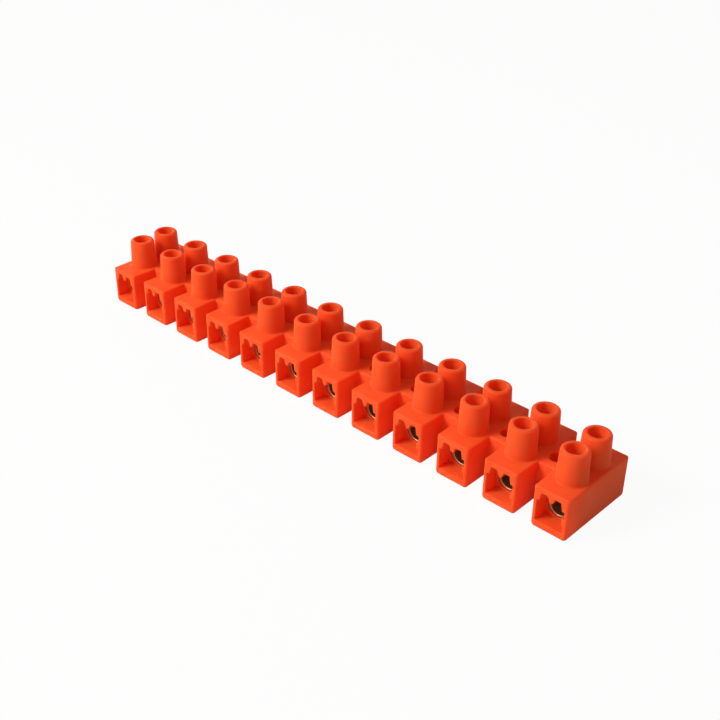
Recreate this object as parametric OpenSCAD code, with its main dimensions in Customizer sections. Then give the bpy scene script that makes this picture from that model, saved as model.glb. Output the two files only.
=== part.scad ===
// Pillar terminal strip with shrouded screws.
// One moulded housing joins a row of poles. Each pole holds a tubular brass barrel, and two
// screws in each barrel clamp the wires that come in from the front and the rear.
// X runs along the strip, Y along the wires and Z up. The origin is under the strip's centre,
// on the surface that it is fixed to. All lengths are in millimetres.

/* [Strip] */
// Number of poles in the row
poles = 12; // [2:1:16]
// Distance between the centres of two neighbouring poles
pitch = 12; // [11.5:0.5:16]

/* [Housing body] */
// Width of one pole's body, along the strip
body_w = 8.1; // [7.8:0.1:8.7]
// Depth of a body, from the front entry to the rear entry
body_d = 20.8; // [18:0.1:26]
// Height of a body, up to the foot of its towers
body_h = 9.9; // [9.4:0.1:12]
// Radius on the upright edges of a body
upright_edge_r = 0.6; // [0.2:0.1:0.8]
// Radius on the lower edges of a body
lower_edge_r = 1.0; // [0.2:0.1:1.1]
// Radius on the upper edges of a body
upper_edge_r = 0.4; // [0.1:0.1:0.6]
// Thickness of the floor under the barrel
floor_t = 2.25; // [1.6:0.05:2.7]

/* [Screw towers] */
// Height of a tower above the body
tower_h = 7.0; // [4:0.1:10]
// Wall of a tower at its rim
tower_wall = 1.0; // [0.95:0.01:1.15]
// Draft angle of a tower's outer face, in degrees
tower_draft = 2.5; // [0:0.5:4]
// Radius on the outside of the rim
rim_r = 0.65; // [0.1:0.05:0.7]
// Radius on the inside of the rim
mouth_r = 0.25; // [0.05:0.05:0.3]
// Radius where a tower meets the body
foot_r = 0.35; // [0.1:0.05:0.5]

/* [Wire entries] */
// Wall on each side of an entry
entry_wall = 0.9; // [0.6:0.05:1.1]
// How far the floor of an entry lies below the barrel's seat
entry_drop = 0.3; // [0:0.05:0.5]
// Height of the entry's shoulders above the barrel's axis
shoulder_rise = 1.9; // [1.5:0.05:2.3]
// Step in from the entry's side to the foot of its crown
shoulder_step = 0.6; // [0.2:0.05:0.8]
// Slope of the crown's sides, across its height
crown_slope = 0.35; // [0.1:0.05:0.7]
// Material above the crown of an entry
crown_roof = 1.2; // [0.7:0.05:1.6]
// Width of the retaining tab where it hangs from the crown
tab_w = 1.6; // [1.4:0.1:2.2]
// Radius of the tab's round end
tab_end_r = 0.5; // [0.4:0.05:0.65]
// How far the tab reaches down over the end of the barrel
tab_grip = 0.35; // [0.1:0.05:0.6]
// How far the nib stands out from the entry's side wall
nib_proud = 0.4; // [0.1:0.05:0.5]
// Height of the nib
nib_h = 1.5; // [0.6:0.1:2]
// Height of the nib above the entry's floor
nib_rise = 1.8; // [0.8:0.05:2]

/* [Webs] */
// Depth of the web between two bodies
web_d = 7.2; // [5:0.1:10]
// Thickness of a web, down from the top of the bodies
web_t = 5.0; // [2.2:0.1:7]
// Radius on the long edges of a web
web_edge_r = 0.5; // [0.2:0.1:1]
// Radius of the fixing hole in a web
fixing_r = 1.6; // [1:0.05:1.7]

/* [Barrel] */
// Outside radius of the brass barrel
barrel_r = 2.7; // [2.5:0.05:2.8]
// Length of the barrel
barrel_l = 14.0; // [12.5:0.1:14.5]
// Radius of the wire bore
wire_r = 1.95; // [1.3:0.05:2]
// How far the wire bore lies below the barrel's axis, which leaves a thicker wall for the threads
bore_drop = 0.2; // [0:0.05:0.25]
// Chamfer on the barrel's outer ends
barrel_chamfer = 0.2; // [0.05:0.05:0.3]

/* [Clamp screws] */
// Distance between the two screws of a pole
screw_spacing = 7.5; // [7.2:0.1:9]
// Radius of the threaded shank
shank_r = 1.5; // [1.2:0.05:1.6]
// Length of the shank, from under the head to the tip
shank_l = 5.0; // [4:0.1:6]
// Radius of the head
head_r = 1.8; // [1.7:0.05:1.9]
// Height of the head
head_h = 1.8; // [1.2:0.1:2.4]
// Chamfer on the head's upper edge
head_chamfer = 0.2; // [0.05:0.05:0.4]
// Width of the driver slot
slot_w = 0.8; // [0.5:0.05:1]
// Depth of the driver slot
slot_depth = 0.8; // [0.5:0.05:1]
// Length of the cone at the screw's tip
tip_h = 0.4; // [0.1:0.05:0.6]
// Turn of the slot from one screw to the next, in degrees
slot_turn = 67; // [0:1:180]

/* [Clearances] */
// Gap between the barrel and its seat, all round
seat_clear = 0.05; // [0.02:0.01:0.1]
// Gap between the barrel and each end of its seat
end_clear = 0.1; // [0.05:0.05:0.3]
// Gap between the shank and its hole in the barrel
thread_clear = 0.05; // [0.02:0.01:0.1]
// Gap between the screw's head and the wall of its well
head_clear = 0.15; // [0.1:0.05:0.3]
// Gap between the backed-out screw's tip and the wire bore
tip_clear = 0.1; // [0.05:0.05:0.3]

/* [Hidden] */
// Fineness of the round surfaces in a preview
$fn = 48;
// Overrun of a cut past the face that it opens, and of a web into its two bodies
over = 0.6;
// Steps in which a small fillet is turned
fillet_steps = 5;

seat_r = barrel_r + seat_clear;
seat_l = barrel_l + 2 * end_clear;
barrel_z = floor_t + seat_r;
bore_z = barrel_z - bore_drop;
entry_w = body_w - 2 * entry_wall;
entry_z = floor_t - entry_drop;
shoulder_z = barrel_z + shoulder_rise;
crown_z = body_h - crown_roof;
crown_w = entry_w - 2 * shoulder_step;
tab_z = barrel_z + barrel_r - tab_grip;
well_r = head_r + head_clear;
tower_r = well_r + tower_wall;
top_z = body_h + tower_h;
hole_r = shank_r + thread_clear;
tip_z = bore_z + wire_r + tip_clear;
sides = [-1, 1];

function pole_x(i) = (i - (poles + 1) / 2) * pitch;

// Points of an arc about a centre, from angle a0 to angle a1, both ends included
function arc(centre, r, a0, a1) =
    [for (k = [0:fillet_steps])
        let (a = a0 + (a1 - a0) * k / fillet_steps)
        centre + r * [cos(a), sin(a)]];

// A rectangle that stands on the X axis of the plane, with one radius on its lower corners and one on its upper ones
module rounded_rect(w, h, lower_r, upper_r) {
    for (s = sides) {
        translate([s * (w / 2 - lower_r), lower_r]) circle(lower_r);
        translate([s * (w / 2 - upper_r), h - upper_r]) circle(upper_r);
    }
    translate([-w / 2, lower_r]) square([w, h - lower_r - upper_r]);
    translate([lower_r - w / 2, 0]) square([w - 2 * lower_r, h / 2]);
    translate([upper_r - w / 2, h / 2]) square([w - 2 * upper_r, h / 2]);
}

// Stands a drawing up, so that its Y axis becomes Z, and extrudes it through the given length along Y
module along_y(length) {
    rotate([90, 0, 0]) linear_extrude(length, center = true) children();
}

module along_x(length) {
    rotate([0, 0, 90]) along_y(length) children();
}

// The block of one pole, with all its edges rounded
module body_block() {
    intersection() {
        along_y(body_d + 2 * over) rounded_rect(body_w, body_h, lower_edge_r, upper_edge_r);
        along_x(body_w + 2 * over) rounded_rect(body_d, body_h, lower_edge_r, upper_edge_r);
        translate([0, -body_d / 2, -over])
            linear_extrude(body_h + 2 * over)
                rounded_rect(body_w, body_d, upright_edge_r, upright_edge_r);
    }
}

// A tapered tower with a rounded rim and a filleted foot. It starts inside the body.
module tower() {
    rim_turn = 90 - tower_draft;
    rim_z = top_z - rim_r;
    rim_x = tower_r - rim_r;
    foot_x = tower_r + (rim_z - body_h) * tan(tower_draft);
    rotate_extrude()
        polygon(concat(
            [[0, body_h - over], [foot_x + foot_r, body_h - over]],
            arc([foot_x + foot_r, body_h + foot_r], foot_r, 270, 180 + tower_draft),
            arc([rim_x, rim_z], rim_r, tower_draft, 90),
            [[0, top_z]]
        ));
}

// The well that the screw and its driver go down, with a rounded mouth
module well() {
    rotate_extrude()
        polygon(concat(
            [[0, barrel_z], [well_r, barrel_z]],
            arc([well_r + mouth_r, top_z - mouth_r], mouth_r, 180, 90),
            [[well_r + mouth_r, top_z + over], [0, top_z + over]]
        ));
}

// Outline of a wire entry: a square mouth, a narrower crown, and a tab that hangs from the crown
module entry_outline() {
    difference() {
        union() {
            translate([-entry_w / 2, entry_z]) square([entry_w, shoulder_z - entry_z]);
            polygon([
                [-crown_w / 2, shoulder_z - over], [crown_w / 2, shoulder_z - over],
                [crown_w / 2, shoulder_z], [crown_w / 2 - crown_slope, crown_z],
                [crown_slope - crown_w / 2, crown_z], [-crown_w / 2, shoulder_z]
            ]);
        }
        polygon([
            [-tab_w / 2, crown_z + over], [-tab_w / 2, crown_z],
            [-tab_end_r, tab_z + tab_end_r], [tab_end_r, tab_z + tab_end_r],
            [tab_w / 2, crown_z], [tab_w / 2, crown_z + over]
        ]);
        translate([0, tab_z + tab_end_r]) circle(tab_end_r);
        translate([entry_w / 2 - nib_proud, entry_z + nib_rise]) square([nib_proud + over, nib_h]);
    }
}

// The front entry and the rear one, which is the front one turned half round
module entries() {
    entry_l = (body_d - seat_l) / 2;
    for (turn = [0, 180])
        rotate([0, 0, turn])
            translate([0, -(seat_l + entry_l + over) / 2, 0])
                along_y(entry_l + over) entry_outline();
}

module pole() {
    difference() {
        union() {
            body_block();
            for (s = sides) translate([0, s * screw_spacing / 2, 0]) tower();
        }
        translate([0, 0, barrel_z]) rotate([90, 0, 0]) cylinder(h = seat_l, r = seat_r, center = true);
        for (s = sides) translate([0, s * screw_spacing / 2, 0]) well();
        entries();
    }
}

// The web between two bodies, with rounded long edges and the hole for a fixing screw
module web() {
    difference() {
        translate([0, 0, body_h - web_t])
            along_x(pitch - body_w + 2 * over) rounded_rect(web_d, web_t, web_edge_r, web_edge_r);
        translate([0, 0, body_h - web_t - over]) cylinder(h = web_t + 2 * over, r = fixing_r);
    }
}

// The moulded housing, one piece
module housing() {
    color("orangered") union() {
        for (i = [1:poles]) translate([pole_x(i), 0, 0]) pole();
        for (i = [1:poles - 1]) translate([pole_x(i) + pitch / 2, 0, 0]) web();
    }
}

// The brass barrel: a tube with an eccentric wire bore and two tapped cross holes
module barrel() {
    half = barrel_l / 2;
    inner = barrel_r - barrel_chamfer;
    color("goldenrod") translate([0, 0, barrel_z]) difference() {
        rotate([90, 0, 0]) rotate_extrude()
            polygon([
                [0, -half], [inner, -half], [barrel_r, barrel_chamfer - half],
                [barrel_r, half - barrel_chamfer], [inner, half], [0, half]
            ]);
        translate([0, 0, -bore_drop]) rotate([90, 0, 0])
            cylinder(h = barrel_l + 2 * over, r = wire_r, center = true);
        for (s = sides)
            translate([0, s * screw_spacing / 2, -bore_drop]) cylinder(h = barrel_r + over, r = hole_r);
    }
}

// A slotted clamp screw, backed out until its tip is clear of the wire bore
module clamp_screw(turn) {
    head_z = tip_z + shank_l;
    head_top = head_z + head_h;
    color("silver") difference() {
        rotate_extrude()
            polygon([
                [0, tip_z], [shank_r - tip_h, tip_z], [shank_r, tip_z + tip_h],
                [shank_r, head_z], [head_r, head_z], [head_r, head_top - head_chamfer],
                [head_r - head_chamfer, head_top], [0, head_top]
            ]);
        rotate([0, 0, turn])
            translate([-head_r - over, -slot_w / 2, head_top - slot_depth])
                cube([2 * (head_r + over), slot_w, slot_depth + over]);
    }
}

// A screw in its place: side -1 is the front row and side 1 the rear row
module placed_screw(i, side) {
    translate([pole_x(i), side * screw_spacing / 2, 0])
        clamp_screw(slot_turn * (2 * i + side));
}

housing();
for (i = [1:poles]) {
    translate([pole_x(i), 0, 0]) barrel();
    placed_screw(i, -1);
    placed_screw(i, 1);
}
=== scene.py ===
import math

import bmesh
import bpy
from mathutils import Matrix, Quaternion, Vector


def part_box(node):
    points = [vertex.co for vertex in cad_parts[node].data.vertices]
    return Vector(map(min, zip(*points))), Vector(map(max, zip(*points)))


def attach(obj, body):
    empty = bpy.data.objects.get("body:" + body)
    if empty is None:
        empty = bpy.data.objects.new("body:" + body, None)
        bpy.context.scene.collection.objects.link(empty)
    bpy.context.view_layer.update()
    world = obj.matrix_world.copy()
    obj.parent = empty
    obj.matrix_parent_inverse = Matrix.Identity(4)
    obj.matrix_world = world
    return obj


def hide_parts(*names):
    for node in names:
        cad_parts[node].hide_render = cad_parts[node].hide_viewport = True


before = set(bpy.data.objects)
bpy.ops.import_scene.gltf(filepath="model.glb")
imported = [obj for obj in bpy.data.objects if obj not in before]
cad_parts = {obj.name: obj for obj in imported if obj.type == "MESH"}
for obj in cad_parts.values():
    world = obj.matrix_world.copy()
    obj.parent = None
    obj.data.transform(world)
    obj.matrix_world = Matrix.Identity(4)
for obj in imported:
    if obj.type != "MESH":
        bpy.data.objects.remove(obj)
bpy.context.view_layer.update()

scene = bpy.context.scene
mm = 0.001
reach = 0.5              # mm by which a cutter or a joined shape goes past the surface it meets
weldDistance = 0.002     # mm


# What the frame says: how many poles there are, how far apart, and where each piece sits, in mm
def boxOf(node):
    low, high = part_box(node)
    return (low + high) / 2 / mm, (high - low) / mm


barrelPlace, barrelSize = boxOf("barrel_1")
screwPlace, screwSize = boxOf("front_screw_1")
housingSize = boxOf("housing")[1]
strip = {
    "poles": sum(1 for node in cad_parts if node.startswith("barrel_")),
    "pitch": boxOf("barrel_2")[0].x - barrelPlace.x,
    "depth": housingSize.y,
    "top": housingSize.z,
    "barrelZ": barrelPlace.z,
    "barrelRadius": barrelSize.x / 2,
    "barrelLength": barrelSize.y,
    "screwY": abs(screwPlace.y),
    "screwLow": screwPlace.z - screwSize.z / 2,
    "screwHigh": screwPlace.z + screwSize.z / 2,
    "headRadius": screwSize.x / 2,
}


# Node tools

def feed(tree, socket, value):
    # the value is another node's output, or a plain one
    if isinstance(value, bpy.types.NodeSocket):
        tree.links.new(value, socket)
    else:
        socket.default_value = value


def mathNode(tree, operation, a, b):
    node = tree.nodes.new("ShaderNodeMath")
    node.operation = operation
    feed(tree, node.inputs[0], a)
    feed(tree, node.inputs[1], b)
    return node.outputs[0]


# Camera, lamps, floor and world, in metres

camera = {
    "azimuth": 42.7,      # degrees round from the front row, towards the last pole
    "elevation": 30.9,    # degrees above the bench
    "roll": 0.9,          # degrees
    "distance": 0.258,
    "aim": (0.0048, 0.0023, 0.008),
    "lens": 56.9,         # mm
    "sensor": 36,         # mm
}

lamps = {
    "key": {"from": (-0.39, -0.68, 0.62), "distance": 0.75, "size": 0.34, "power": 5.4},   # a round one
}

room = {
    "fill": 0.38,          # strength of the world on the object
    "fillColour": (1.0, 0.88, 0.80, 1),
    "floorColour": 0.82,
    "floorGlow": 0.94,     # share of plain white in what the camera sees of the floor
    "backdrop": 0.98,      # what the camera sees beyond the floor, so that no horizon shows
    "floorSize": 6.0,
}


def makeCamera(shot):
    azimuth, elevation = math.radians(shot["azimuth"]), math.radians(shot["elevation"])
    back = Vector((math.sin(azimuth) * math.cos(elevation), -math.cos(azimuth) * math.cos(elevation),
                   math.sin(elevation)))
    roll = Quaternion((0, 0, 1), math.radians(shot["roll"]))
    data = bpy.data.cameras.new("camera")
    data.lens, data.sensor_width = shot["lens"], shot["sensor"]
    cam = bpy.data.objects.new("camera", data)
    scene.collection.objects.link(cam)
    cam.location = Vector(shot["aim"]) + back * shot["distance"]
    cam.rotation_mode = "QUATERNION"
    cam.rotation_quaternion = back.to_track_quat("Z", "Y") @ roll
    scene.camera = cam


def makeLamp(name, lamp):
    data = bpy.data.lights.new(name, "AREA")
    data.shape, data.size, data.energy = "DISK", lamp["size"], lamp["power"]
    light = bpy.data.objects.new(name, data)
    scene.collection.objects.link(light)
    towards = Vector(lamp["from"]).normalized()
    light.location = towards * lamp["distance"]
    light.rotation_mode = "QUATERNION"
    light.rotation_quaternion = towards.to_track_quat("Z", "Y")


def seenDirectly(tree):
    # 1 for what the camera, a reflection or a refraction sees, 0 for light that falls on things
    path = tree.nodes.new("ShaderNodeLightPath")
    either = mathNode(tree, "MAXIMUM", path.outputs["Is Camera Ray"], path.outputs["Is Glossy Ray"])
    return mathNode(tree, "MAXIMUM", either, path.outputs["Is Transmission Ray"])


def splitSurface(tree, share, lit, shown, output):
    # a ray meets the shown surface by the given share, and the lit one by the rest
    mix = tree.nodes.new("ShaderNodeMixShader")
    tree.links.new(share, mix.inputs["Fac"])
    tree.links.new(lit.outputs[0], mix.inputs[1])
    tree.links.new(shown.outputs[0], mix.inputs[2])
    tree.links.new(mix.outputs[0], tree.nodes.new(output).inputs["Surface"])


def makeWorld(studio):
    world = bpy.data.worlds.new("studio")
    world.use_nodes = True
    tree = world.node_tree
    tree.nodes.clear()
    shown = tree.nodes.new("ShaderNodeBackground")
    shown.inputs["Color"].default_value = (1, 1, 1, 1)
    shown.inputs["Strength"].default_value = studio["backdrop"]
    lit = tree.nodes.new("ShaderNodeBackground")
    lit.inputs["Color"].default_value = studio["fillColour"]
    lit.inputs["Strength"].default_value = studio["fill"]
    splitSurface(tree, seenDirectly(tree), lit, shown, "ShaderNodeOutputWorld")
    scene.world = world


def makeFloor(studio):
    bm = bmesh.new()
    bmesh.ops.create_grid(bm, x_segments=1, y_segments=1, size=studio["floorSize"] / 2)
    mesh = bpy.data.meshes.new("floor")
    bm.to_mesh(mesh)
    bm.free()
    floor = bpy.data.objects.new("floor", mesh)
    scene.collection.objects.link(floor)
    material = bpy.data.materials.new("benchWhite")
    material.use_nodes = True
    tree = material.node_tree
    tree.nodes.clear()
    lit = tree.nodes.new("ShaderNodeBsdfDiffuse")
    lit.inputs["Color"].default_value = (studio["floorColour"],) * 3 + (1,)
    glow = tree.nodes.new("ShaderNodeEmission")
    share = mathNode(tree, "MULTIPLY", seenDirectly(tree), studio["floorGlow"])
    splitSurface(tree, share, lit, glow, "ShaderNodeOutputMaterial")
    mesh.materials.append(material)


scene.view_settings.view_transform = "Standard"
makeCamera(camera)
for name, lamp in lamps.items():
    makeLamp(name, lamp)
makeWorld(room)
makeFloor(room)
print("stage: camera, lamps, world and floor are set")


# Shader groups that the finishes share

def newGroup(name, inputs, outputs):
    group = bpy.data.node_groups.new(name, "ShaderNodeTree")
    for label, kind, value in inputs:
        socket = group.interface.new_socket(label, in_out="INPUT", socket_type=kind)
        if value is not None:
            socket.default_value = value
    for label, kind in outputs:
        group.interface.new_socket(label, in_out="OUTPUT", socket_type=kind)
    return group, group.nodes.new("NodeGroupInput"), group.nodes.new("NodeGroupOutput")


def noiseNode(tree, vector, scale, detail=2.0):
    node = tree.nodes.new("ShaderNodeTexNoise")
    node.inputs["Detail"].default_value = detail
    tree.links.new(vector, node.inputs["Vector"])
    tree.links.new(scale, node.inputs["Scale"])
    return node.outputs["Fac"]


def makeMottle():
    # two colours, mixed in soft clouds of the given size
    lowNoise, highNoise = 0.3, 0.7      # Main stands alone below, and Other has its full share above
    group, ins, outs = newGroup(
        "mottle",
        [("Vector", "NodeSocketVector", None), ("Size", "NodeSocketFloat", 0.004),
         ("Main", "NodeSocketColor", None), ("Other", "NodeSocketColor", None),
         ("Share", "NodeSocketFloat", 0.5)],
        [("Color", "NodeSocketColor"), ("Mask", "NodeSocketFloat")])
    scale = mathNode(group, "DIVIDE", 1.0, ins.outputs["Size"])
    cloud = noiseNode(group, ins.outputs["Vector"], scale)
    spread = group.nodes.new("ShaderNodeMapRange")
    spread.inputs["From Min"].default_value = lowNoise
    spread.inputs["From Max"].default_value = highNoise
    group.links.new(cloud, spread.inputs["Value"])
    mask = mathNode(group, "MULTIPLY", spread.outputs[0], ins.outputs["Share"])
    mix = group.nodes.new("ShaderNodeMix")
    mix.data_type = "RGBA"
    colourA, colourB, colourOut = mix.inputs[6], mix.inputs[7], mix.outputs[2]
    group.links.new(mask, mix.inputs["Factor"])
    group.links.new(ins.outputs["Main"], colourA)
    group.links.new(ins.outputs["Other"], colourB)
    group.links.new(colourOut, outs.inputs["Color"])
    group.links.new(mask, outs.inputs["Mask"])
    return group


def makeGrain():
    # a fine stipple for a bump, and a roughness that wanders in patches many grains wide
    grainsToPatch = 14.0
    group, ins, outs = newGroup(
        "grain",
        [("Vector", "NodeSocketVector", None), ("Size", "NodeSocketFloat", 0.0002),
         ("Roughness", "NodeSocketFloat", 0.5), ("Spread", "NodeSocketFloat", 0.1)],
        [("Height", "NodeSocketFloat"), ("Roughness", "NodeSocketFloat")])
    scale = mathNode(group, "DIVIDE", 1.0, ins.outputs["Size"])
    height = noiseNode(group, ins.outputs["Vector"], scale, detail=3.0)
    patch = noiseNode(group, ins.outputs["Vector"], mathNode(group, "DIVIDE", scale, grainsToPatch))
    swing = mathNode(group, "MULTIPLY", mathNode(group, "SUBTRACT", patch, 0.5), ins.outputs["Spread"])
    group.links.new(height, outs.inputs["Height"])
    group.links.new(mathNode(group, "ADD", ins.outputs["Roughness"], swing), outs.inputs["Roughness"])
    return group


def makeTurned():
    # the fine grooves that a lathe tool leaves, which follow the turned profile
    group, ins, outs = newGroup(
        "turned",
        [("Along", "NodeSocketFloat", 0.0), ("Grooves", "NodeSocketFloat", 14.0)],
        [("Height", "NodeSocketFloat")])
    node = group.nodes.new("ShaderNodeTexNoise")
    node.noise_dimensions = "1D"
    node.inputs["Detail"].default_value = 3.0
    group.links.new(ins.outputs["Along"], node.inputs["W"])
    group.links.new(ins.outputs["Grooves"], node.inputs["Scale"])
    group.links.new(node.outputs["Fac"], outs.inputs["Height"])
    return group


mottle, grain, turned = makeMottle(), makeGrain(), makeTurned()


def groupNode(tree, group, **values):
    node = tree.nodes.new("ShaderNodeGroup")
    node.node_tree = group
    for label, value in values.items():
        feed(tree, node.inputs[label], value)
    return node


def newFinish(name, look):
    # what the finishes share: soft clouds in the colour, and a grain with an uneven roughness
    material = bpy.data.materials.new(name)
    material.use_nodes = True
    tree = material.node_tree
    shader = tree.nodes["Principled BSDF"]
    spot = tree.nodes.new("ShaderNodeTexCoord").outputs["Object"]
    clouds = groupNode(tree, mottle, Vector=spot, Size=look["cloudSize"], Main=look["colour"],
                       Other=look["cloudColour"], Share=look["cloudShare"])
    stipple = groupNode(tree, grain, Vector=spot, Size=look["grainSize"], Roughness=look["roughness"],
                        Spread=look["roughnessSpread"])
    tree.links.new(clouds.outputs["Color"], shader.inputs["Base Color"])
    tree.links.new(stipple.outputs["Roughness"], shader.inputs["Roughness"])
    return material, tree, shader, stipple


def addBump(tree, shader, height, depth):
    bump = tree.nodes.new("ShaderNodeBump")
    bump.inputs["Distance"].default_value = depth
    tree.links.new(height, bump.inputs["Height"])
    tree.links.new(bump.outputs["Normal"], shader.inputs["Normal"])


# The finishes, with their sizes and depths in metres

plastic = {
    "colour": (0.92, 0.088, 0.018, 1),
    "cloudColour": (0.94, 0.103, 0.024, 1),
    "cloudSize": 0.006,
    "cloudShare": 1.0,
    "gloss": 0.08,
    "roughness": 0.5,
    "roughnessSpread": 0.1,
    "grainSize": 0.00022,
    "grainDepth": 0.000006,
    "glow": 0.80,                            # share of light that goes under the surface
    "glowReach": (0.0040, 0.0005, 0.0002),   # how far red, green and blue light go
}

brass = {
    "colour": (0.56, 0.31, 0.17, 1),
    "cloudColour": (0.36, 0.14, 0.08, 1),    # tarnish
    "cloudSize": 0.0025,
    "cloudShare": 0.6,
    "roughness": 0.46,
    "roughnessSpread": 0.14,
    "grainSize": 0.0001,
    "grooves": 16.0,                         # to the millimetre
    "grooveDepth": 0.000006,
}

steel = {
    "colour": (0.70, 0.70, 0.68, 1),
    "cloudColour": (0.66, 0.62, 0.50, 1),    # yellowed zinc
    "cloudSize": 0.0016,
    "cloudShare": 0.6,
    "roughness": 0.30,
    "roughnessSpread": 0.16,
    "grainSize": 0.00008,
    "grooves": 12.0,                         # to the millimetre
    "grooveDepth": 0.000005,
}


def makePlastic(name, look):
    material, tree, shader, stipple = newFinish(name, look)
    shader.inputs["Specular IOR Level"].default_value = look["gloss"]
    shader.inputs["Subsurface Weight"].default_value = look["glow"]
    shader.inputs["Subsurface Radius"].default_value = look["glowReach"]
    shader.inputs["Subsurface Scale"].default_value = 1.0
    addBump(tree, shader, stipple.outputs["Height"], look["grainDepth"])
    return material


def makeTurnedMetal(name, look):
    # the grooves follow the UV map "profile", whose second coordinate is in mm
    material, tree, shader, _ = newFinish(name, look)
    shader.inputs["Metallic"].default_value = 1.0
    profile = tree.nodes.new("ShaderNodeUVMap")
    profile.uv_map = "profile"
    split = tree.nodes.new("ShaderNodeSeparateXYZ")
    tree.links.new(profile.outputs["UV"], split.inputs[0])
    marks = groupNode(tree, turned, Along=split.outputs["Y"], Grooves=look["grooves"])
    addBump(tree, shader, marks.outputs["Height"], look["grooveDepth"])
    return material


orangePolyamide = makePlastic("orangePolyamide", plastic)
turnedBrass = makeTurnedMetal("turnedBrass", brass)
zincSteel = makeTurnedMetal("zincSteel", steel)
print("finishes: orange polyamide, turned brass and zinc-plated steel")


# Mesh tools that the pieces share. Sizes come in mm.

def arc(x, z, radius, fromAngle, toAngle, steps=6):
    angles = [math.radians(fromAngle + (toAngle - fromAngle) * k / steps) for k in range(steps + 1)]
    return [(x + radius * math.cos(a), z + radius * math.sin(a)) for a in angles]


def newPiece(name, bm):
    bmesh.ops.recalc_face_normals(bm, faces=bm.faces)
    mesh = bpy.data.meshes.new(name)
    bm.to_mesh(mesh)
    bm.free()
    piece = bpy.data.objects.new(name, mesh)
    scene.collection.objects.link(piece)
    return piece


def turnProfile(profile, segments=64):
    # turns (radius, height) points about Z. The UV map "profile" runs round and along the profile.
    bm = bmesh.new()
    uv = bm.loops.layers.uv.new("profile")
    rings, lengths, walked = [], [], 0.0
    for n, (radius, height) in enumerate(profile):
        turns = [2 * math.pi * k / segments for k in range(segments if radius else 1)]
        rings.append([bm.verts.new((radius * mm * math.cos(t), radius * mm * math.sin(t), height * mm))
                      for t in turns])
        walked += math.dist(profile[n - 1], profile[n]) if n else 0.0
        lengths.append(walked)
    for n, (inner, outer) in enumerate(zip(rings, rings[1:])):
        for k in range(segments):
            corners = [(inner, k, n), (inner, k + 1, n), (outer, k + 1, n + 1), (outer, k, n + 1)]
            seen, spots = [], []
            for ring, turn, row in corners:
                vertex = ring[turn % len(ring)]
                if vertex not in seen:
                    seen.append(vertex)
                    spots.append((turn / segments, lengths[row]))
            if len(seen) < 3:
                continue
            face = bm.faces.new(seen)
            for loop, spot in zip(face.loops, spots):
                loop[uv].uv = spot
    return bm


def skin(rings):
    # a closed skin through rings of equally many points
    bm = bmesh.new()
    rows = [[bm.verts.new((x * mm, y * mm, z * mm)) for x, y, z in ring] for ring in rings]
    for row, following in zip(rows, rows[1:]):
        for n in range(len(row)):
            m = (n + 1) % len(row)
            bm.faces.new([row[n], row[m], following[m], following[n]])
    bm.faces.new(rows[0])
    bm.faces.new(rows[-1])
    return bm


def flareStations(start, radius, stepAngle):
    # a quarter round as stations along an axis: where each one lies, and how far it spreads
    turns = [math.radians(angle) for angle in range(0, 91, stepAngle)]
    return [(start + radius * (1 - math.cos(turn)), radius * (1 - math.sin(turn))) for turn in turns]


def place(bm, matrix):
    bmesh.ops.transform(bm, matrix=matrix, verts=bm.verts)
    return bm


def moved(x, y, z):
    return Matrix.Translation(Vector((x, y, z)) * mm)


alongY = Matrix.Rotation(math.radians(90), 4, "X")     # lays a turned shape along Y


def settle(piece):
    # the piece's modifiers become its plain mesh
    graph = bpy.context.evaluated_depsgraph_get()
    mesh = bpy.data.meshes.new_from_object(piece.evaluated_get(graph), depsgraph=graph)
    piece.modifiers.clear()
    piece.data = mesh
    return piece


def combine(piece, shape, operation):
    # joins a closed shape to the piece, or cuts it out
    tool = newPiece("tool", shape)
    modifier = piece.modifiers.new("combine", "BOOLEAN")
    modifier.object, modifier.operation, modifier.solver = tool, operation, "EXACT"
    settle(piece)
    bpy.data.objects.remove(tool)


def smoothShade(piece, sharpAngle):
    # flat faces stay flat, and the round edges between them shade softly
    piece.data.shade_smooth()
    piece.data.set_sharp_from_angle(angle=math.radians(sharpAngle))
    modifier = piece.modifiers.new("shade", "WEIGHTED_NORMAL")
    modifier.mode, modifier.weight, modifier.keep_sharp = "FACE_AREA", 90, True
    return settle(piece)


def setInputs(modifier, values):
    for item in modifier.node_group.interface.items_tree:
        if item.item_type == "SOCKET" and item.in_out == "INPUT" and item.name in values:
            modifier[item.identifier] = values[item.name]


def grow(name, group, values):
    # runs a node tree on an empty mesh, and keeps what it makes as a plain mesh
    piece = bpy.data.objects.new(name, bpy.data.meshes.new(name))
    modifier = piece.modifiers.new("grow", "NODES")
    modifier.node_group = group
    setInputs(modifier, values)
    scene.collection.objects.link(piece)
    return settle(piece)


# Housing: one cell of block, towers, entries and half webs, repeated along the strip

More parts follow.
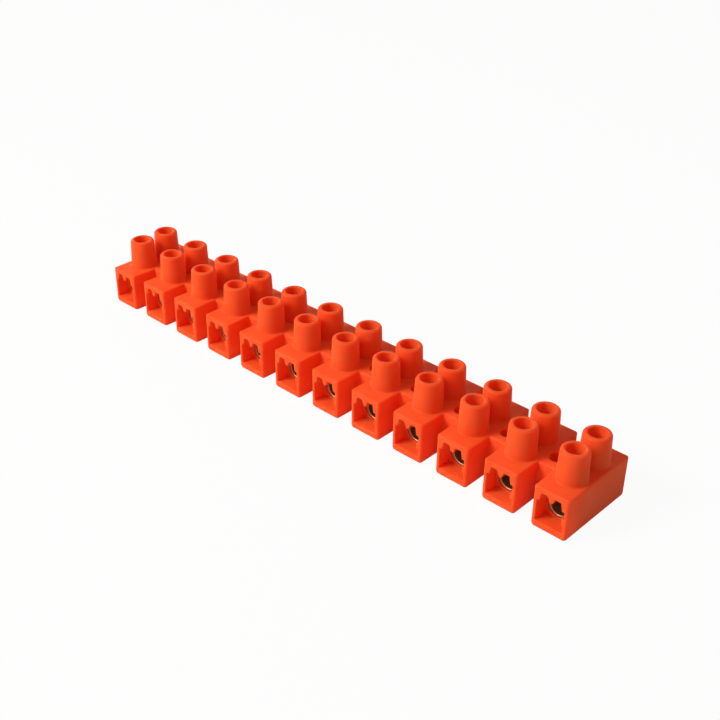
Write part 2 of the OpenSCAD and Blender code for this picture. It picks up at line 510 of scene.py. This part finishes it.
housing = {
    "bodyWidth": 8.1,
    "bodyHeight": 9.9,
    "uprightEdge": 0.6,       # radii of the block's edges
    "lowerEdge": 1.0,
    "upperEdge": 0.4,
    "edgeSegments": 6,
    "towerWall": 1.0,         # at the rim
    "towerDraft": 2.5,        # degrees
    "towerSink": 0.004,       # puts its foot just under the block's top, so that the two surfaces cross
    "rimRadius": 0.65,        # outside the tower's rim
    "mouthRadius": 0.25,      # inside it
    "footRadius": 0.35,       # where the tower meets the block
    "wellRadius": 1.95,
    "entryWall": 0.9,
    "entryFloor": 1.95,
    "entryEdge": 0.16,        # rounding round the mouth of an entry
    "entryArcStep": 18,       # degrees between the steps of that rounding
    "shoulderRise": 1.9,      # from the barrel's axis up to the shoulders
    "shoulderStep": 0.6,
    "crownSlope": 0.35,       # how far each side of the crown leans in
    "crownRoof": 1.2,         # plastic above the crown
    "tabWidth": 1.6,
    "tabEnd": 0.5,            # radius of the tab's lower end
    "tabGrip": 0.35,          # how far the tab hangs past the barrel's top
    "nibProud": 0.4,
    "nibHeight": 1.5,
    "nibRise": 1.8,           # from the entry's floor up to the nib
    "seatGap": 0.05,          # clearance round the barrel
    "endGap": 0.1,            # clearance at each end of the barrel
    "seatLap": 0.02,          # the seat's cutter reaches this far into the entries' cutters
    "webDepth": 7.2,
    "webThickness": 5.0,
    "webEdge": 0.5,           # radius on a web's long edges
    "webArcStep": 15,         # degrees between the points of a web's round edges
    "notchRadius": 0.4,       # where a web meets the bodies
    "fixingRadius": 1.6,
    "fixingEdge": 0.15,       # rounding at both ends of a fixing hole
    "flatAngle": 0.3,         # degrees up to which neighbouring faces count as one flat face
}


def makeBlock(form):
    # the block of one pole. Each edge takes its own radius from its bevel weight.
    bm = bmesh.new()
    bmesh.ops.create_cube(bm, size=1)
    size = Vector((form["bodyWidth"], strip["depth"], form["bodyHeight"])) * mm
    place(bm, moved(0, 0, form["bodyHeight"] / 2) @ Matrix.Diagonal(size).to_4x4())
    widest = max(form["lowerEdge"], form["upperEdge"], form["uprightEdge"])
    weights = bm.edges.layers.float.new("bevel_weight_edge")
    for edge in bm.edges:
        ends = [vertex.co.z for vertex in edge.verts]
        if max(ends) < size.z / 2:
            radius = form["lowerEdge"]
        elif min(ends) > size.z / 2:
            radius = form["upperEdge"]
        else:
            radius = form["uprightEdge"]
        edge[weights] = radius / widest
    block = newPiece("block", bm)
    bevel = block.modifiers.new("round", "BEVEL")
    bevel.limit_method, bevel.width, bevel.segments = "WEIGHT", widest * mm, form["edgeSegments"]
    bevel.use_clamp_overlap = False
    return settle(block)


def webSection(form):
    # points round the web's section, each with the direction in which it faces
    edge, high = form["webEdge"], form["bodyHeight"]
    half, low = form["webDepth"] / 2 - edge, high - form["webThickness"]
    corners = [(half, high - edge), (-half, high - edge), (-half, low + edge), (half, low + edge)]
    points = []
    for n, (y, z) in enumerate(corners):
        for angle in range(90 * n, 90 * n + 91, form["webArcStep"]):
            faceY, faceZ = math.cos(math.radians(angle)), math.sin(math.radians(angle))
            points.append((y + edge * faceY, z + edge * faceZ, faceY, faceZ))
    return points


def halfWeb(form, side):
    # it flares where it joins the block, but not above the block's top
    half, notch, section = form["bodyWidth"] / 2, form["notchRadius"], webSection(form)
    stations = ([(half - reach, notch)] + flareStations(half, notch, form["webArcStep"])
                + [(strip["pitch"] / 2, 0.0)])
    return skin([[(side * x, y + faceY * spread, z + min(faceZ, 0) * spread)
                  for y, z, faceY, faceZ in section] for x, spread in stations])


def towerProfile(form):
    # from inside the block, up the drafted side and over the rim
    draft, rim, foot = form["towerDraft"], form["rimRadius"], form["footRadius"]
    radius = form["wellRadius"] + form["towerWall"]
    rimZ = strip["top"] - rim
    footX = radius + (rimZ - form["bodyHeight"]) * math.tan(math.radians(draft)) + foot
    low = form["bodyHeight"] - form["towerSink"]
    return ([(0, low - reach), (footX, low - reach)]
            + arc(footX, low + foot, foot, 270, 180 + draft)
            + arc(radius - rim, rimZ, rim, draft, 90, steps=8)
            + [(0, strip["top"])])


def wellProfile(form):
    radius, edge, low, top = form["wellRadius"], form["mouthRadius"], strip["barrelZ"], strip["top"]
    return ([(0, low), (radius, low)]
            + arc(radius + edge, top - edge, edge, 180, 90, steps=5)
            + [(radius + edge, top + reach), (0, top + reach)])


def fixingProfile(form):
    low, top = form["bodyHeight"] - form["webThickness"], form["bodyHeight"]
    edge = form["fixingEdge"]
    wide = form["fixingRadius"] + edge
    return ([(0, low - reach), (wide, low - reach)]
            + arc(wide, low + edge, edge, 270, 180, steps=4)
            + arc(wide, top - edge, edge, 180, 90, steps=4)
            + [(wide, top + reach), (0, top + reach)])


def entryOutline(form):
    # a square mouth with a nib on one side, and a narrower crown with a tab that hangs from it
    half, low = form["bodyWidth"] / 2 - form["entryWall"], form["entryFloor"]
    shoulder = strip["barrelZ"] + form["shoulderRise"]
    crown = form["bodyHeight"] - form["crownRoof"]
    crownHalf = half - form["shoulderStep"]
    crownTop = crownHalf - form["crownSlope"]
    nibX = half - form["nibProud"]
    nibLow = low + form["nibRise"]
    nibHigh = nibLow + form["nibHeight"]
    tabHalf = form["tabWidth"] / 2
    tabZ = strip["barrelZ"] + strip["barrelRadius"] - form["tabGrip"] + form["tabEnd"]
    return ([(-half, low), (half, low), (half, nibLow), (nibX, nibLow), (nibX, nibHigh), (half, nibHigh),
             (half, shoulder), (crownHalf, shoulder), (crownTop, crown), (tabHalf, crown)]
            + arc(0, tabZ, form["tabEnd"], 0, -180, steps=8)
            + [(-tabHalf, crown), (-crownTop, crown), (-crownHalf, shoulder), (-half, shoulder)])


def widened(outline, distance):
    # each side moves outwards, and the moved sides meet again at the corners
    result = []
    for n, here in enumerate(outline):
        before, after = outline[n - 1], outline[(n + 1) % len(outline)]
        normals = []
        for (x, z), (nextX, nextZ) in ((before, here), (here, after)):
            length = math.hypot(nextX - x, nextZ - z)
            normals.append(((nextZ - z) / length, (x - nextX) / length))
        (ax, az), (bx, bz) = normals
        share = distance / (1 + ax * bx + az * bz)
        result.append((here[0] + (ax + bx) * share, here[1] + (az + bz) * share))
    return result


def entryCutter(form, outer, inner):
    # from outside the face to the inner end, flared where it crosses the face
    outline, edge = entryOutline(form), form["entryEdge"]
    stations = [(outer - reach, edge)] + flareStations(outer, edge, form["entryArcStep"]) + [(inner, 0.0)]
    return skin([[(x, y, z) for x, z in widened(outline, spread)] for y, spread in stations])


def openSeams(cell, flatAngle):
    # merges flat faces, and takes away those on the seams, where the next cell goes on
    seam = strip["pitch"] / 2 * mm
    bm = bmesh.new()
    bm.from_mesh(cell.data)
    bmesh.ops.dissolve_limit(bm, angle_limit=math.radians(flatAngle), verts=bm.verts, edges=bm.edges)
    onSeam = [face for face in bm.faces
              if all(abs(abs(vertex.co.x) - seam) < weldDistance * mm for vertex in face.verts)]
    bmesh.ops.delete(bm, geom=onSeam, context="FACES")
    bm.to_mesh(cell.data)
    bm.free()


def makeCell(form, webSides):
    # one pole, with half a web on each of the given sides
    cell = makeBlock(form)
    for side in webSides:
        combine(cell, halfWeb(form, side), "UNION")
    for side in (-1, 1):
        tower = place(turnProfile(towerProfile(form)), moved(0, side * strip["screwY"], 0))
        combine(cell, tower, "UNION")
    seatRadius = strip["barrelRadius"] + form["seatGap"]
    seatEnd = strip["barrelLength"] / 2 + form["endGap"]
    cutEnd = seatEnd + form["seatLap"]
    seat = turnProfile([(0, -cutEnd), (seatRadius, -cutEnd), (seatRadius, cutEnd), (0, cutEnd)], segments=72)
    combine(cell, place(seat, moved(0, 0, strip["barrelZ"]) @ alongY), "DIFFERENCE")
    for side in (-1, 1):
        well = place(turnProfile(wellProfile(form)), moved(0, side * strip["screwY"], 0))
        combine(cell, well, "DIFFERENCE")
        entry = entryCutter(form, -strip["depth"] / 2, -seatEnd)
        if side > 0:
            place(entry, Matrix.Rotation(math.pi, 4, "Z"))
        combine(cell, entry, "DIFFERENCE")
    for side in webSides:
        hole = place(turnProfile(fixingProfile(form), segments=48), moved(side * strip["pitch"] / 2, 0, 0))
        combine(cell, hole, "DIFFERENCE")
    openSeams(cell, form["flatAngle"])
    return cell


def newTree(name, inputs):
    group = bpy.data.node_groups.new(name, "GeometryNodeTree")
    for label, kind in inputs:
        group.interface.new_socket(label, in_out="INPUT", socket_type=kind)
    group.interface.new_socket("Geometry", in_out="OUTPUT", socket_type="NodeSocketGeometry")
    return group, group.nodes.new("NodeGroupInput"), group.nodes.new("NodeGroupOutput")


def rowOfPoints(tree, count, pitch):
    # one point for each pole, centred on the strip
    start = mathNode(tree, "MULTIPLY", mathNode(tree, "SUBTRACT", count, 1), -0.5)
    first = tree.nodes.new("ShaderNodeCombineXYZ")
    step = tree.nodes.new("ShaderNodeCombineXYZ")
    tree.links.new(mathNode(tree, "MULTIPLY", start, pitch), first.inputs["X"])
    tree.links.new(pitch, step.inputs["X"])
    line = tree.nodes.new("GeometryNodeMeshLine")
    line.mode = "OFFSET"
    tree.links.new(count, line.inputs["Count"])
    tree.links.new(first.outputs[0], line.inputs["Start Location"])
    tree.links.new(step.outputs[0], line.inputs["Offset"])
    return line.outputs["Mesh"]


def instanceNode(tree, points, source, selection=None):
    info = tree.nodes.new("GeometryNodeObjectInfo")
    tree.links.new(source, info.inputs["Object"])
    node = tree.nodes.new("GeometryNodeInstanceOnPoints")
    tree.links.new(points, node.inputs["Points"])
    tree.links.new(info.outputs["Geometry"], node.inputs["Instance"])
    if selection:
        tree.links.new(selection, node.inputs["Selection"])
    return node


def indexIs(tree, value):
    node = tree.nodes.new("FunctionNodeCompare")
    node.data_type, node.operation = "INT", "EQUAL"
    feed(tree, node.inputs["A"], tree.nodes.new("GeometryNodeInputIndex").outputs[0])
    feed(tree, node.inputs["B"], value)
    return node.outputs["Result"]


def finishTree(tree, instances, material, output, weld=None):
    # instances become one mesh, welded where cells meet, with its finish
    join = tree.nodes.new("GeometryNodeJoinGeometry")
    for node in instances:
        tree.links.new(node.outputs["Instances"], join.inputs[0])
    real = tree.nodes.new("GeometryNodeRealizeInstances")
    tree.links.new(join.outputs[0], real.inputs[0])
    last = real.outputs[0]
    if weld:
        merge = tree.nodes.new("GeometryNodeMergeByDistance")
        tree.links.new(last, merge.inputs["Geometry"])
        tree.links.new(weld, merge.inputs["Distance"])
        last = merge.outputs[0]
    finish = tree.nodes.new("GeometryNodeSetMaterial")
    tree.links.new(last, finish.inputs["Geometry"])
    tree.links.new(material, finish.inputs["Material"])
    tree.links.new(finish.outputs[0], output.inputs[0])


def makeHousingTree():
    tree, ins, outs = newTree("housingRow", [
        ("First cell", "NodeSocketObject"), ("Middle cell", "NodeSocketObject"),
        ("Last cell", "NodeSocketObject"), ("Poles", "NodeSocketInt"), ("Pitch", "NodeSocketFloat"),
        ("Weld distance", "NodeSocketFloat"), ("Finish", "NodeSocketMaterial")])
    points = rowOfPoints(tree, ins.outputs["Poles"], ins.outputs["Pitch"])
    isFirst = indexIs(tree, 0)
    isLast = indexIs(tree, mathNode(tree, "SUBTRACT", ins.outputs["Poles"], 1))
    isMiddle = tree.nodes.new("FunctionNodeBooleanMath")
    isMiddle.operation = "NOR"
    tree.links.new(isFirst, isMiddle.inputs[0])
    tree.links.new(isLast, isMiddle.inputs[1])
    instances = [instanceNode(tree, points, ins.outputs["First cell"], isFirst),
                 instanceNode(tree, points, ins.outputs["Middle cell"], isMiddle.outputs[0]),
                 instanceNode(tree, points, ins.outputs["Last cell"], isLast)]
    finishTree(tree, instances, ins.outputs["Finish"], outs, ins.outputs["Weld distance"])
    return tree


def makeHousing(form):
    cells = {"First cell": makeCell(form, (1,)), "Middle cell": makeCell(form, (-1, 1)),
             "Last cell": makeCell(form, (-1,))}
    piece = grow("mouldedHousing", makeHousingTree(), {
        **cells, "Poles": strip["poles"], "Pitch": strip["pitch"] * mm,
        "Weld distance": weldDistance * mm, "Finish": orangePolyamide})
    for cell in cells.values():
        bpy.data.objects.remove(cell)
    smoothShade(piece, sharpAngle=32)
    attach(piece, "strip")
    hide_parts("housing")


makeHousing(housing)
print("housing: one moulding with", strip["poles"], "poles")


# Barrels

barrel = {
    "boreRadius": 1.95,
    "boreDrop": 0.2,         # the bore lies below the barrel's axis
    "chamfer": 0.2,
    "boreChamfer": 0.07,
    "holeRadius": 1.55,      # the cross holes that take the screws
}


def makeBarrel(form):
    half, radius, edge = strip["barrelLength"] / 2, strip["barrelRadius"], form["chamfer"]
    outside = turnProfile([
        (0, -half), (radius - edge, -half), (radius, edge - half), (radius, half - edge),
        (radius - edge, half), (0, half)], segments=72)
    piece = newPiece("barrel", place(outside, alongY))
    bore, chamfer, drop = form["boreRadius"], form["boreChamfer"], form["boreDrop"]
    mouth = bore + chamfer + reach
    inside = turnProfile([
        (0, -half - reach), (mouth, -half - reach), (bore, chamfer - half), (bore, half - chamfer),
        (mouth, half + reach), (0, half + reach)])
    combine(piece, place(inside, moved(0, 0, -drop) @ alongY), "DIFFERENCE")
    wide, past = form["holeRadius"], radius + 2 * reach
    for side in (-1, 1):
        hole = turnProfile([(0, -drop), (wide, -drop), (wide, past), (0, past)], segments=48)
        combine(piece, place(hole, moved(0, side * strip["screwY"], 0)), "DIFFERENCE")
    piece.data.transform(moved(0, 0, strip["barrelZ"]))
    return piece


def makeRowTree():
    tree, ins, outs = newTree("pieceRow", [
        ("Piece", "NodeSocketObject"), ("Poles", "NodeSocketInt"), ("Pitch", "NodeSocketFloat"),
        ("Finish", "NodeSocketMaterial")])
    points = rowOfPoints(tree, ins.outputs["Poles"], ins.outputs["Pitch"])
    finishTree(tree, [instanceNode(tree, points, ins.outputs["Piece"])], ins.outputs["Finish"], outs)
    return tree


def makeBarrels(form):
    source = makeBarrel(form)
    piece = grow("brassBarrels", makeRowTree(), {
        "Piece": source, "Poles": strip["poles"], "Pitch": strip["pitch"] * mm, "Finish": turnedBrass})
    bpy.data.objects.remove(source)
    smoothShade(piece, sharpAngle=30)
    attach(piece, "strip")
    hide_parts(*[f"barrel_{n + 1}" for n in range(strip["poles"])])


makeBarrels(barrel)
print("barrels:", strip["poles"], "turned brass tubes")


# Clamp screws

screw = {
    "shankRadius": 1.5,
    "rootRadius": 1.2,
    "threadPitch": 0.5,
    "runOut": 0.3,           # length under the head over which the thread dies out
    "tip": 0.4,              # bevel at the lower end
    "headHeight": 1.8,
    "headChamfer": 0.2,
    "underChamfer": 0.08,
    "headLap": 0.05,         # the shank reaches this far into the head
    "slotWidth": 0.8,
    "slotDepth": 0.8,
    "slotFlare": 0.06,
    "slotTurn": 67,          # degrees from one screw to the next
}


def threadRadius(form, share):
    # across one pitch: up a flank over the first third, along a flat crest, and down over the last third
    rise = min(1.0, 3 * min(share, 1 - share))
    return form["rootRadius"] + (form["shankRadius"] - form["rootRadius"]) * rise


def radiusAt(form, share, overTip, underHead):
    # the thread's radius, held in by the bevel of the tip and by the run-out under the head
    bevel = form["shankRadius"] - form["tip"] + max(0.0, overTip)
    if overTip <= 0:
        return bevel
    radius = min(threadRadius(form, share), bevel)
    if underHead < form["runOut"]:
        radius = min(radius, form["rootRadius"] + max(0.0, underHead))
    return radius


def makeShank(form, low, high, segments=28, rowsPerTurn=6):
    # rows of points follow the helix, and squeeze flat where they run out at each end
    turns = int((high - low) / form["threadPitch"]) + 1
    bm = bmesh.new()
    uv = bm.loops.layers.uv.new("profile")
    grid = []
    for row in range(-rowsPerTurn, turns * rowsPerTurn + 1):
        points = []
        for k in range(segments + 1):
            z = low + (row / rowsPerTurn + k / segments) * form["threadPitch"]
            radius = radiusAt(form, (row / rowsPerTurn) % 1.0, z - low, high - z)
            z = min(max(z, low), high)
            turn = 2 * math.pi * k / segments
            points.append(bm.verts.new((radius * mm * math.cos(turn), radius * mm * math.sin(turn), z * mm)))
        grid.append(points)
    for row, (lower, upper) in enumerate(zip(grid, grid[1:])):
        for k in range(segments):
            face = bm.faces.new([lower[k], lower[k + 1], upper[k + 1], upper[k]])
            for loop, spot in zip(face.loops, ((k, row), (k + 1, row), (k + 1, row + 1), (k, row + 1))):
                loop[uv].uv = (spot[0] / segments, spot[1] * form["threadPitch"] / rowsPerTurn)
    bmesh.ops.remove_doubles(bm, verts=bm.verts, dist=weldDistance * mm)
    bmesh.ops.dissolve_degenerate(bm, dist=weldDistance / 2 * mm, edges=bm.edges)
    rims = [edge for edge in bm.edges if edge.is_boundary]
    bmesh.ops.holes_fill(bm, edges=rims, sides=0)
    return bm


def slotCutter(form, top):
    half, depth, flare = form["slotWidth"] / 2, form["slotDepth"], form["slotFlare"]
    section = [(-half, -depth), (half, -depth), (half, -flare), (half + flare, 0), (half + flare, reach),
               (-half - flare, reach), (-half - flare, 0), (-half, -flare)]
    end = 2 * form["shankRadius"]                # well past the head on both sides
    return skin([[(x, y, top + z) for y, z in section] for x in (-end, end)])


def makeScrewBody(form):
    low, top, radius = strip["screwLow"], strip["screwHigh"], strip["headRadius"]
    under, chamfer, underChamfer = top - form["headHeight"], form["headChamfer"], form["underChamfer"]
    piece = newPiece("shank", makeShank(form, low, under + form["headLap"]))
    head = turnProfile([
        (0, under), (radius - underChamfer, under), (radius, under + underChamfer), (radius, top - chamfer),
        (radius - chamfer, top), (0, top)], segments=48)
    combine(piece, head, "UNION")
    combine(piece, slotCutter(form, top), "DIFFERENCE")
    return piece


def makeScrewTree():
    tree, ins, outs = newTree("placedScrew", [
        ("Screw", "NodeSocketObject"), ("Place", "NodeSocketVector"), ("Slot turn", "NodeSocketFloat"),
        ("Finish", "NodeSocketMaterial")])
    point = tree.nodes.new("GeometryNodeMeshLine")
    point.inputs["Count"].default_value = 1
    tree.links.new(ins.outputs["Place"], point.inputs["Start Location"])
    node = instanceNode(tree, point.outputs[0], ins.outputs["Screw"])
    turn = tree.nodes.new("ShaderNodeCombineXYZ")
    tree.links.new(ins.outputs["Slot turn"], turn.inputs["Z"])
    tree.links.new(turn.outputs[0], node.inputs["Rotation"])
    finishTree(tree, [node], ins.outputs["Finish"], outs)
    return tree


def makeScrews(form):
    source, tree = makeScrewBody(form), makeScrewTree()
    for row, side in (("front", -1), ("rear", 1)):
        for n in range(strip["poles"]):
            node = f"{row}_screw_{n + 1}"
            centre = boxOf(node)[0]
            piece = grow(f"{row}ClampScrew{n + 1}", tree, {
                "Screw": source, "Place": (centre.x * mm, centre.y * mm, 0.0),
                "Slot turn": math.radians(form["slotTurn"] * (2 * (n + 1) + side)), "Finish": zincSteel})
            smoothShade(piece, sharpAngle=35)
            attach(piece, node)
            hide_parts(node)
    bpy.data.objects.remove(source)


makeScrews(screw)
print("screws:", 2 * strip["poles"], "clamp screws")
